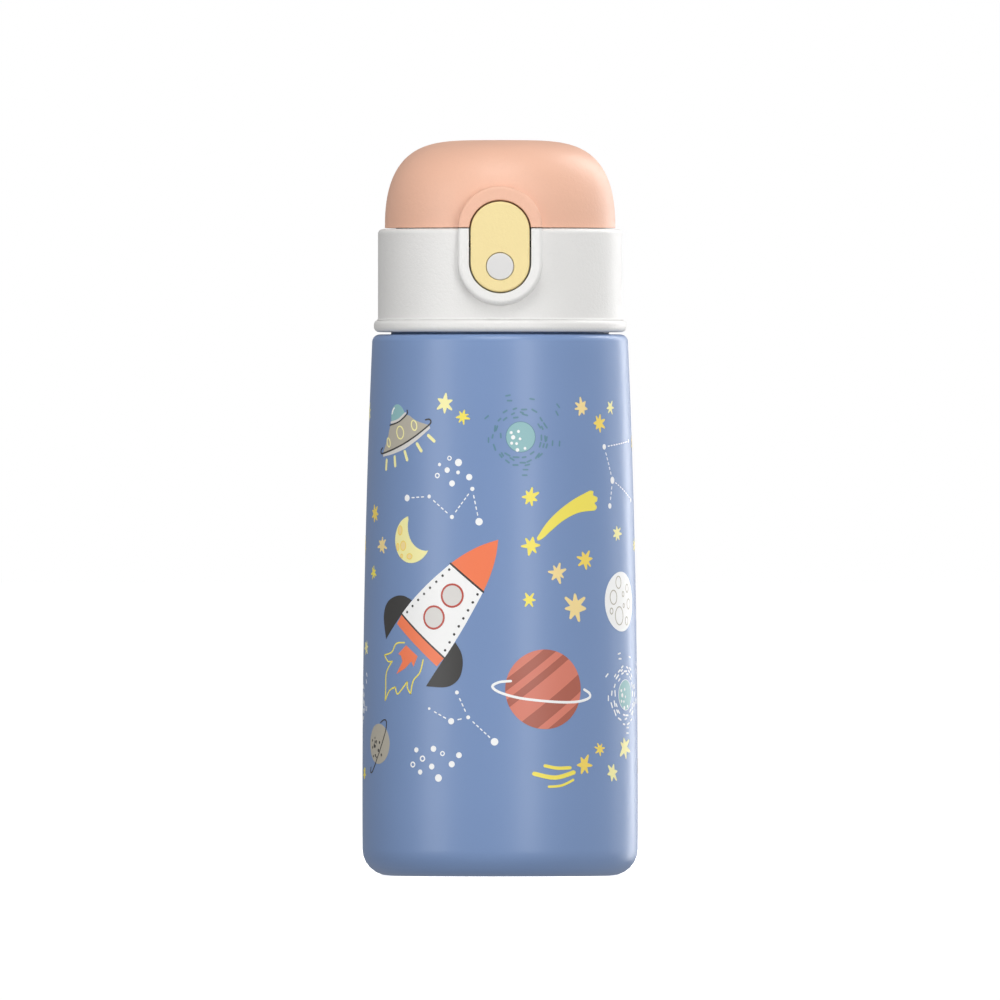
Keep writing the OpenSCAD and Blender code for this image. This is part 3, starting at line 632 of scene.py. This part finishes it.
# ---------------------------------------------------------------------------
# Inner liner with the neck, and the pieces under the base. Spun and electropolished
# stainless steel: fine rings from the lathe, brighter and darker by turns.
def spun_steel(name, colour, rough, rings):
    """Steel with fine rings round the bottle's axis; rings is how many there are in a millimetre."""
    made, start = new_material(name)
    place = start.node("TexCoord", output="Object")
    axis = start.node("SeparateXYZ", None, {0: place}, 2)
    flat = start.node("VectorMath", {"operation": "MULTIPLY"}, {0: place, 1: (1, 1, 0)})
    radius = start.node("VectorMath", {"operation": "LENGTH"}, {0: flat}, 1)
    across = start.node("CombineXYZ", None, {"X": radius, "Y": axis})
    lathe = start.node("TexNoise", None, {"Vector": across, "Scale": rings / MM, "Detail": 3})
    stains = start.node("TexNoise", None, {"Vector": place, "Scale": 70, "Detail": 3})
    dark = tuple(c * 0.9 for c in colour[:3]) + (1,)
    bump = start.node("Bump", None, {"Height": lathe, "Distance": 0.00002, "Strength": 0.5})
    surface = start.node("BsdfPrincipled", None, {
        "Base Color": (lathe * 0.5 + stains * 0.5).blend(dark, colour), "Metallic": 1.0,
        "Roughness": rough + (lathe - 0.5) * 0.14 + (stains - 0.5) * 0.12, "Normal": bump})
    start.node("OutputMaterial", None, {"Surface": surface})
    return made


def dress(node, material):
    """Gives a CAD node whose shape is right its finish."""
    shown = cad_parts[node]
    shown.data.materials.clear()
    shown.data.materials.append(material)


liner_steel = spun_steel("liner_steel", linear(205, 204, 202), 0.24, 2.2)
base_steel = spun_steel("base_steel", linear(198, 198, 199), 0.33, 3.5)
sintered_metal = coated("sintered_metal", linear(118, 117, 120), rough=0.6, peel=0.25, depth=0.00006,
                        cloud=0.12)
dress("inner_liner", liner_steel)
dress("vacuum_base", base_steel)
dress("getter", sintered_metal)
dress("seal_bead", sintered_metal)

COVER_R, COVER_BORE = 23.93, 23.43
cover = [(0, 1.15), (4.0, 1.15, 0.4), (5.2, 0.85, 0.4), (15.0, 0.85, 0.4), (16.0, 1.2, 0.4), (18.0, 1.2, 0.4),
         (19.0, 0.8, 0.4), (COVER_R, 0.8, 0.5), (COVER_R, 2.95), (COVER_BORE, 2.95), (COVER_BORE, 1.4, 0.4),
         (19.0, 1.4), (18.0, 1.8), (16.0, 1.8), (15.0, 1.45), (5.2, 1.45), (4.0, 1.75), (0, 1.75)]
piece("base_plate", turned(cover, closed=False), "vessel", base_steel, "base_steel", "base_cover")

# ---------------------------------------------------------------------------
# Straw and gasket. The straw is a clear tube that is pushed on the cap's nipple. The
# gasket is a white silicone ring with two lips, between the neck's rim and the cap.
clear_tube, start = new_material("clear_tube")
place = start.node("TexCoord", output="Object")
stretched = start.node("Mapping", None, {"Vector": place, "Scale": (1, 1, 0.04)})
drawn = start.node("TexNoise", None, {"Vector": stretched, "Scale": 900, "Detail": 2})
smears = start.node("TexNoise", None, {"Vector": place, "Scale": 160, "Detail": 3})
tube_bump = start.node("Bump", None, {"Height": drawn, "Distance": 0.00002, "Strength": 0.5})
tube_surface = start.node("BsdfPrincipled", None, {
    "Base Color": smears.blend((0.88, 0.91, 0.93, 1), (0.95, 0.96, 0.97, 1)),
    "Roughness": 0.16 + smears * 0.14,
    "Transmission Weight": 0.75, "IOR": 1.46, "Normal": tube_bump})
start.node("OutputMaterial", None, {"Surface": tube_surface})
STRAW_BORE, STRAW_R = 2.25, 3.25
STRAW_FOOT, STRAW_TOP = 12.9, 149.9
straw_section = [(STRAW_BORE, STRAW_FOOT, 0.3), (STRAW_R, STRAW_FOOT, 0.4), (STRAW_R, STRAW_TOP, 0.4),
                 (STRAW_BORE, STRAW_TOP, 0.3)]
straw = turned(straw_section, steps=48, smooth=4)
piece("clear_straw", straw, "straw", clear_tube, "clear_straw", "drinking_straw")

white_silicone = coated("white_silicone", linear(232, 232, 229), rough=0.5, peel=0.4, depth=0.00002,
                        cloud=0.02)
gasket_section = [(25.85, 148.6, 0.3), (28.6, 148.6, 0.3), (28.6, 149.1, 0.2), (28.25, 149.35, 0.15),
                  (28.6, 149.6, 0.2), (28.6, 150.1, 0.3), (25.85, 150.1, 0.3)]
gasket = turned(gasket_section, steps=128, smooth=3)
piece("gasket_ring", gasket, "gasket", white_silicone, "white_silicone", "lid_gasket")


# ---------------------------------------------------------------------------
# Collar. One white ABS moulding with a fine satin grain: a rolled flange at its foot, the
# lower half of the button's pod in front with the well behind it, and two hinge lugs.
def combined(bm, tool, how):
    """The first mesh with the second added to it or cut out of it."""
    objects = []
    for part in (bm, tool):
        made = bpy.data.objects.new("blank", bpy.data.meshes.new("blank"))
        part.to_mesh(made.data)
        part.free()
        scene.collection.objects.link(made)
        objects.append(made)
    cut = objects[0].modifiers.new("cut", "BOOLEAN")
    cut.operation, cut.object, cut.solver = how, objects[1], "EXACT"
    result = bmesh.new()
    result.from_mesh(objects[0].evaluated_get(bpy.context.evaluated_depsgraph_get()).to_mesh())
    bmesh.ops.remove_doubles(result, verts=result.verts, dist=5e-4)
    for made in objects:
        mesh = made.data
        bpy.data.objects.remove(made)
        bpy.data.meshes.remove(mesh)
    return result


HAIR = 0.02  # keeps apart the faces that would lie in one plane, so that the cuts stay clean
COLLAR_TOP = 164.4
COLLAR_R = 31.05
POD = Matrix.Translation((0, -COLLAR_R - 0.15, COLLAR_TOP)) @ Matrix.Rotation(math.radians(-7), 4, "X")
POD_R = 10.75
WELL_R = 7.9
WELL_LOW, WELL_HIGH = -8.7, -0.6
POD_LOW, POD_HIGH = -8.7, 0.2


def stadium(half, low, high, front, back, edge=0.0, flare=0.0, segments=96):
    """An upright long-round block in the pod's frame, from depth front to depth back.
    Edge rounds its front rim, and flare widens its front outline."""
    bm = bmesh.new()
    bmesh.ops.create_circle(bm, cap_ends=True, segments=segments, radius=half + flare,
                            matrix=Matrix.Rotation(math.pi / segments, 4, "Z"))
    for vert in bm.verts:
        vert.co.y += high if vert.co.y > 0 else low
    made = bmesh.ops.extrude_face_region(bm, geom=bm.faces[:])["geom"]
    shrink = half / (half + flare)
    for vert in (v for v in made if isinstance(v, bmesh.types.BMVert)):
        centre = high if vert.co.y > (high + low) / 2 else low
        vert.co = (vert.co.x * shrink, centre + (vert.co.y - centre) * shrink, -(back - front))
    if edge:
        rim = [e for e in bm.edges if all(abs(v.co.z) < 1e-6 for v in e.verts)]
        bmesh.ops.bevel(bm, geom=rim, offset=edge, offset_type="OFFSET", segments=6, profile=0.5,
                        affect="EDGES", material=-1, clamp_overlap=False)
    bmesh.ops.recalc_face_normals(bm, faces=bm.faces)
    bmesh.ops.rotate(bm, verts=bm.verts, cent=(0, 0, 0), matrix=Matrix.Rotation(math.radians(90), 3, "X"))
    bmesh.ops.translate(bm, verts=bm.verts, vec=(0, front, 0))
    bmesh.ops.transform(bm, verts=bm.verts, matrix=POD)
    return bm


def sliced(bm, height, keep_below):
    """Cuts a closed mesh at a height and closes it again."""
    cut = bmesh.ops.bisect_plane(bm, geom=bm.verts[:] + bm.edges[:] + bm.faces[:], dist=1e-5,
                                 plane_co=(0, 0, height), plane_no=(0, 0, 1),
                                 clear_outer=keep_below, clear_inner=not keep_below)
    edges = [e for e in cut["geom_cut"] if isinstance(e, bmesh.types.BMEdge)]
    bmesh.ops.contextual_create(bm, geom=edges)
    bmesh.ops.recalc_face_normals(bm, faces=bm.faces)
    return bm


def rod(radius, x0, x1, y, z, edge=0.0, steps=64):
    """A round bar along X."""
    section = [(0, x0), (radius, x0, edge), (radius, x1, edge), (0, x1)]
    bm = turned(section, steps=steps, closed=False, smooth=3)
    bmesh.ops.rotate(bm, verts=bm.verts, cent=(0, 0, 0), matrix=Matrix.Rotation(math.radians(90), 3, "Y"))
    bmesh.ops.translate(bm, verts=bm.verts, vec=(0, y, z))
    return bm


def block(x0, x1, y0, y1, z0, z1, edge=0.0):
    """A box between six planes, with its edges rounded."""
    bm = bmesh.new()
    middle = Vector(((x0 + x1) / 2, (y0 + y1) / 2, (z0 + z1) / 2))
    bmesh.ops.create_cube(bm, size=1)
    bmesh.ops.scale(bm, vec=(x1 - x0, y1 - y0, z1 - z0), verts=bm.verts)
    bmesh.ops.translate(bm, vec=middle, verts=bm.verts)
    if edge:
        bmesh.ops.bevel(bm, geom=bm.edges[:], offset=edge, offset_type="OFFSET", segments=3, profile=0.5,
                        affect="EDGES", material=-1)
    return bm


HINGE_Y, HINGE_Z = 32.05, 162.8
KNUCKLE_R = 2.9
PIN_R = 0.9
LEAF_Y = 28.5

white_abs = coated("white_abs", linear(236, 235, 233), rough=0.46, peel=0.9, depth=0.0002, cloud=0.05,
                   grain=0.36)
collar = turned([(0, 138.2), (32.1, 138.2, 1.35), (32.1, 141.2, 1.3), (COLLAR_R, 141.3, 0.5),
                 (COLLAR_R, COLLAR_TOP, 1.2), (0, COLLAR_TOP)], steps=256, closed=False, smooth=8)
pod_half = sliced(stadium(POD_R, POD_LOW, 6.4, 0, 6, edge=1.1), COLLAR_TOP - HAIR, True)
collar = combined(collar, pod_half, "UNION")
hollow = turned([(0, 137), (29.9, 137), (29.9, 158), (27.0, 158, 0.3), (27.0, COLLAR_TOP - 0.4, 0.2),
                 (27.4, COLLAR_TOP, 0.1), (27.4, 166), (0, 166)], steps=256, closed=False, smooth=3)
collar = combined(collar, hollow, "DIFFERENCE")
box = sliced(sliced(stadium(9.0, POD_LOW, 6.4, 1.6, 7), COLLAR_TOP - 3 * HAIR, True), 152.3, False)
collar = combined(collar, box, "UNION")
collar = combined(collar, stadium(WELL_R, WELL_LOW, 9.4, -1, 6), "DIFFERENCE")
collar = combined(collar, stadium(WELL_R - HAIR, WELL_LOW, 9.4, -0.3, 0.2, flare=0.5), "DIFFERENCE")
for side in (-1, 1):
    near, far = sorted((side * 5.4, side * 9.4))
    collar = combined(collar, rod(KNUCKLE_R, near, far, HINGE_Y, HINGE_Z, 0.35), "UNION")
    web = block(near + HAIR, far - HAIR, LEAF_Y, HINGE_Y, HINGE_Z - KNUCKLE_R + 0.05, COLLAR_TOP - HAIR, 0.25)
    collar = combined(collar, web, "UNION")
collar = combined(collar, rod(KNUCKLE_R + 0.4, -5.4 - HAIR, 5.4 + HAIR, HINGE_Y, HINGE_Z), "DIFFERENCE")
collar = combined(collar, rod(PIN_R, -10, 10, HINGE_Y, HINGE_Z, steps=32), "DIFFERENCE")
leg_slot = block(-2.75, -1.85, 29.4, 32.4, 158.05, 162)
collar = combined(collar, leg_slot, "DIFFERENCE")
white_collar = piece("white_collar", collar, "cap", white_abs, "white_abs", "collar")
white_collar.modifiers.new("even_shading", "WEIGHTED_NORMAL").keep_sharp = True

# ---------------------------------------------------------------------------
# Cap core and vent valve. The core is one natural polypropylene moulding, pressed into
# the collar: threaded skirt, deck, plug skirt, nipple and spout socket.
natural_pp = coated("natural_pp", linear(226, 226, 221), rough=0.32, peel=0.8, depth=0.00002, cloud=0.02)
dress("cap_core", natural_pp)
dress("vent_valve", white_silicone)

# ---------------------------------------------------------------------------
# Lid shell. A peach ABS dome over its own arch, which is the upper half of the pod.
# Inside the arch is the catch that the button's hook holds, and two knuckles are at the back.
LID_Z = 164.65
DOME_R, DOME_H = 29.3, 22.35


def dome_line(inset, drop):
    """Half section of the dome, from its foot to its crown."""
    line = [(0, LID_Z - drop), (DOME_R - inset, LID_Z - drop)]
    for k in range(1 if drop == 0 else 0, 56):
        angle = math.pi / 2 * (1 - (1 - k / 56) ** 2.2)
        line.append(((DOME_R - inset) * math.cos(angle) ** (2 / 4.3),
                     LID_Z + (DOME_H - inset) * math.sin(angle) ** (2 / 2.4)))
    return line + [(0, LID_Z + DOME_H - inset)]


peach_abs = coated("peach_abs", linear(240, 189, 163), rough=0.45, peel=0.9, depth=0.0002, cloud=0.06,
                   grain=0.36)
shell = turned(dome_line(0, 0), steps=256, closed=False)
arch = sliced(stadium(POD_R, POD_LOW, POD_HIGH, 0, 5.6, edge=0.9), LID_Z + HAIR, False)
shell = combined(shell, arch, "UNION")
room_inside = turned(dome_line(1.9, 1), steps=256, closed=False)
keep = stadium(POD_R - 0.3, POD_LOW, POD_HIGH, -2, 5.6)
room_inside = combined(room_inside, keep, "DIFFERENCE")
shell = combined(shell, room_inside, "DIFFERENCE")
shell = combined(shell, stadium(WELL_R, -12, WELL_HIGH, -1, 4), "DIFFERENCE")
shell = combined(shell, stadium(WELL_R - HAIR, -12, WELL_HIGH, -0.3, 0.2, flare=0.5), "DIFFERENCE")
catch = block(-4.5, 4.5, 2.6, 4.3, 1.6, 3.6, 0.2)
bmesh.ops.transform(catch, verts=catch.verts, matrix=POD)
shell = combined(shell, catch, "UNION")
for side in (-1, 1):
    near, far = sorted((side * 2.9, side * 5.2))
    shell = combined(shell, rod(KNUCKLE_R, near, far, HINGE_Y, HINGE_Z, 0.3), "UNION")
    arm = block(near + HAIR, far - HAIR, DOME_R - 1.8, HINGE_Y, LID_Z + 2 * HAIR, LID_Z + 2.2, 0.25)
    shell = combined(shell, arm, "UNION")
shell = combined(shell, rod(PIN_R + 0.05, -6, 6, HINGE_Y, HINGE_Z, steps=32), "DIFFERENCE")
shell = combined(shell, block(1.85, 2.75, 27.35, 31.9, 164.2, 165.45), "DIFFERENCE")
peach_dome = piece("peach_dome", shell, "lid", peach_abs, "peach_abs", "lid_shell")
peach_dome.modifiers.new("even_shading", "WEIGHTED_NORMAL").keep_sharp = True

inner_lid_abs = coated("inner_lid_abs", linear(236, 236, 233), rough=0.34, peel=0.6, depth=0.00002,
                       cloud=0.015)
dress("lid_liner", inner_lid_abs)

# ---------------------------------------------------------------------------
# Button. A yellow ABS rocker that fills the well, with two eyes on the latch pin, the hook
# behind its top and a round white inlay pressed into its lower half.
BUTTON_R = 7.5
DOT_S = WELL_LOW - 1
LUG_R, LUG_DEPTH, LUG_S = 1.55, 3.6, -3.5
yellow_abs = coated("yellow_abs", linear(242, 222, 161), rough=0.48, peel=0.9, depth=0.00018, cloud=0.05,
                    grain=0.36)
plate = stadium(BUTTON_R, WELL_LOW, WELL_HIGH, 0, 1.8, edge=0.45)
plate = combined(plate, stadium(3.62, DOT_S - 0.001, DOT_S, -1, 1, segments=64), "DIFFERENCE")
for side in (-1, 1):
    near, far = sorted((side * 4.0, side * 5.8))
    eye = rod(LUG_R, near, far, LUG_DEPTH, LUG_S, 0.2, steps=40)
    neck = block(near + HAIR, far - HAIR, 0.9, LUG_DEPTH, LUG_S - LUG_R + HAIR, LUG_S + LUG_R - HAIR)
    for part in (eye, neck):
        bmesh.ops.transform(part, verts=part.verts, matrix=POD)
        plate = combined(plate, part, "UNION")
pin_hole = rod(0.85, -7, 7, LUG_DEPTH, LUG_S, steps=32)
hook = block(-4.2, 4.2, 0.9, 3.2, 3.8, 5.2, 0.2)
for part, how in ((pin_hole, "DIFFERENCE"), (hook, "UNION")):
    bmesh.ops.transform(part, verts=part.verts, matrix=POD)
    plate = combined(plate, part, how)
plate = combined(plate, stadium(1.1, DOT_S - 0.001, DOT_S, 1.5, 2.8, segments=32), "UNION")
yellow_button = piece("yellow_button", plate, "button", yellow_abs, "yellow_abs", "push_button")
yellow_button.modifiers.new("even_shading", "WEIGHTED_NORMAL").keep_sharp = True

dot_abs = coated("dot_abs", linear(221, 220, 219), rough=0.46, peel=0.5, depth=0.00004, cloud=0.015)
inlay = stadium(3.45, DOT_S - 0.001, DOT_S, 0.02, 1, edge=0.3, segments=72)
piece("white_dot", inlay, "button", dot_abs, "dot_abs", "button_dot")

# ---------------------------------------------------------------------------
# Pins and springs. Drawn steel wire: a hinge pin with domed ends, a short latch pin, a
# torsion spring that winds with the lid, and a small spring behind the button.
wire_steel = spun_steel("wire_steel", linear(200, 200, 202), 0.26, 5)
hinge_pin = rod(PIN_R, -9.4, 9.4, HINGE_Y, HINGE_Z, 0.35, steps=40)
piece("hinge_pin_steel", hinge_pin, "cap", wire_steel, "pin_steel", "hinge_pin")
dress("latch_pin", spun_steel("black_steel", linear(70, 70, 72), 0.5, 5))


def wire(name, path, radius):
    """A round wire along a path, as a mesh."""
    curve = bpy.data.curves.new(name, "CURVE")
    curve.dimensions, curve.bevel_depth, curve.bevel_resolution = "3D", radius, 3
    curve.use_fill_caps = True
    line = curve.splines.new("POLY")
    line.points.add(len(path) - 1)
    for point, place in zip(line.points, path):
        point.co = (*place, 1)
    shown = bpy.data.objects.new(name, curve)
    scene.collection.objects.link(shown)
    mesh = bpy.data.meshes.new_from_object(shown.evaluated_get(bpy.context.evaluated_depsgraph_get()))
    bpy.data.objects.remove(shown)
    bm = bmesh.new()
    bm.from_mesh(mesh)
    bmesh.ops.remove_doubles(bm, verts=bm.verts, dist=1e-3)
    bmesh.ops.recalc_face_normals(bm, faces=bm.faces)
    return bm


SPRING_X, SPRING_R, LEG = 2.3, 2.2, 4.5
TURNS, STEPS = 6.25, 32
coil = [(-SPRING_X, HINGE_Y - SPRING_R, HINGE_Z - LEG)]
for k in range(int(TURNS * STEPS) + 1):
    angle = math.pi - math.tau * k / STEPS
    coil.append((-SPRING_X + 2 * SPRING_X * k / (TURNS * STEPS),
                 HINGE_Y + SPRING_R * math.cos(angle), HINGE_Z + SPRING_R * math.sin(angle)))
coil.append((SPRING_X, HINGE_Y - LEG, HINGE_Z + SPRING_R))
spring = piece("torsion_spring", wire("coil", coil, 0.28), None, wire_steel, "spring_steel", "lid_spring")
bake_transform(spring)

HELIX_R, HELIX_START, HELIX_LENGTH, HELIX_TURNS = 1.7, 2.05, 3.7, 4
helix = []
for k in range(HELIX_TURNS * STEPS + 1):
    angle = math.tau * k / STEPS
    along = HELIX_START + HELIX_LENGTH * k / (HELIX_TURNS * STEPS)
    helix.append(POD @ Vector((HELIX_R * math.cos(angle), along, DOT_S + HELIX_R * math.sin(angle))))
latch_coil = piece("latch_coil", wire("helix", helix, 0.18), None, wire_steel, "spring_steel", "latch_spring")
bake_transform(latch_coil)

# ---------------------------------------------------------------------------
# Mouthpiece. One clear soft silicone moulding: a flange held in the core's socket, a short
# bellows where it folds, and the spout with a thick lip. The shut lid lays it forward.
PIVOT = Vector((0, 0, 157.0))
FOLD = math.radians(50)
soft_silicone, start = new_material("soft_silicone")
place = start.node("TexCoord", output="Object")
haze = start.node("TexNoise", None, {"Vector": place, "Scale": 220, "Detail": 3})
skin = start.node("TexNoise", None, {"Vector": place, "Scale": 2600, "Detail": 1})
silicone_bump = start.node("Bump", None, {"Height": skin, "Distance": 0.00002, "Strength": 0.5})
silicone_surface = start.node("BsdfPrincipled", None, {
    "Base Color": haze.blend((0.80, 0.83, 0.85, 1), (0.88, 0.90, 0.91, 1)), "Roughness": 0.3 + haze * 0.16,
    "Transmission Weight": 0.45, "IOR": 1.41, "Normal": silicone_bump, "Subsurface Weight": 0.25,
    "Subsurface Radius": (0.004, 0.004, 0.004)})
start.node("OutputMaterial", None, {"Surface": silicone_surface})
BORE, SPOUT_R, LIP_R = 1.6, 3.6, 4.3
FLANGE_Z, STEM_Z, LIP_Z, TIP_Z = 151.9, 161.0, 176.6, 180.9
section = [(BORE, FLANGE_Z), (6.2, FLANGE_Z, 0.2), (6.2, 153.4, 0.4), (4.9, 153.4, 0.3)]
for k in range(3):
    section += [(4.75, 154.3 + 2.1 * k, 0.5), (3.95, 155.35 + 2.1 * k, 0.4)]
section += [(SPOUT_R, STEM_Z, 1.0)] + [(SPOUT_R, STEM_Z + k) for k in range(2, 15, 2)]
section += [(SPOUT_R, LIP_Z, 1.5), (LIP_R, 178.6, 0.8), (LIP_R, TIP_Z, 1.3), (1.9, TIP_Z, 0.4), (BORE, 178.0)]
section += [(BORE, z) for z in range(176, 153, -2)]
mouth = turned(section, steps=72, smooth=3)
half_turn = Matrix.Rotation(FOLD / 2, 3, "X")
fold_start = PIVOT + half_turn @ Vector((0, 0, -3.6))
fold_end = PIVOT + half_turn @ Vector((0, 0, 4.2))
fold_line = fold_end - fold_start
# The rest shape is the folded one: each point turns by its own share, found in small steps.
for vert in mouth.verts:
    upright = vert.co - PIVOT
    folded = vert.co.copy()
    for _ in range(60):
        share = min(1, max(0, (folded - fold_start).dot(fold_line) / fold_line.length_squared))
        share = share * share * (3 - 2 * share)
        turn = Matrix.Rotation(share * FOLD, 3, "X")
        folded = folded.lerp(PIVOT + turn @ upright, 0.6)
    vert.co = folded
mouthpiece = piece("mouthpiece", mouth, None, soft_silicone, "clear_silicone", "spout_base", "spout_tip")
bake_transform(mouthpiece)
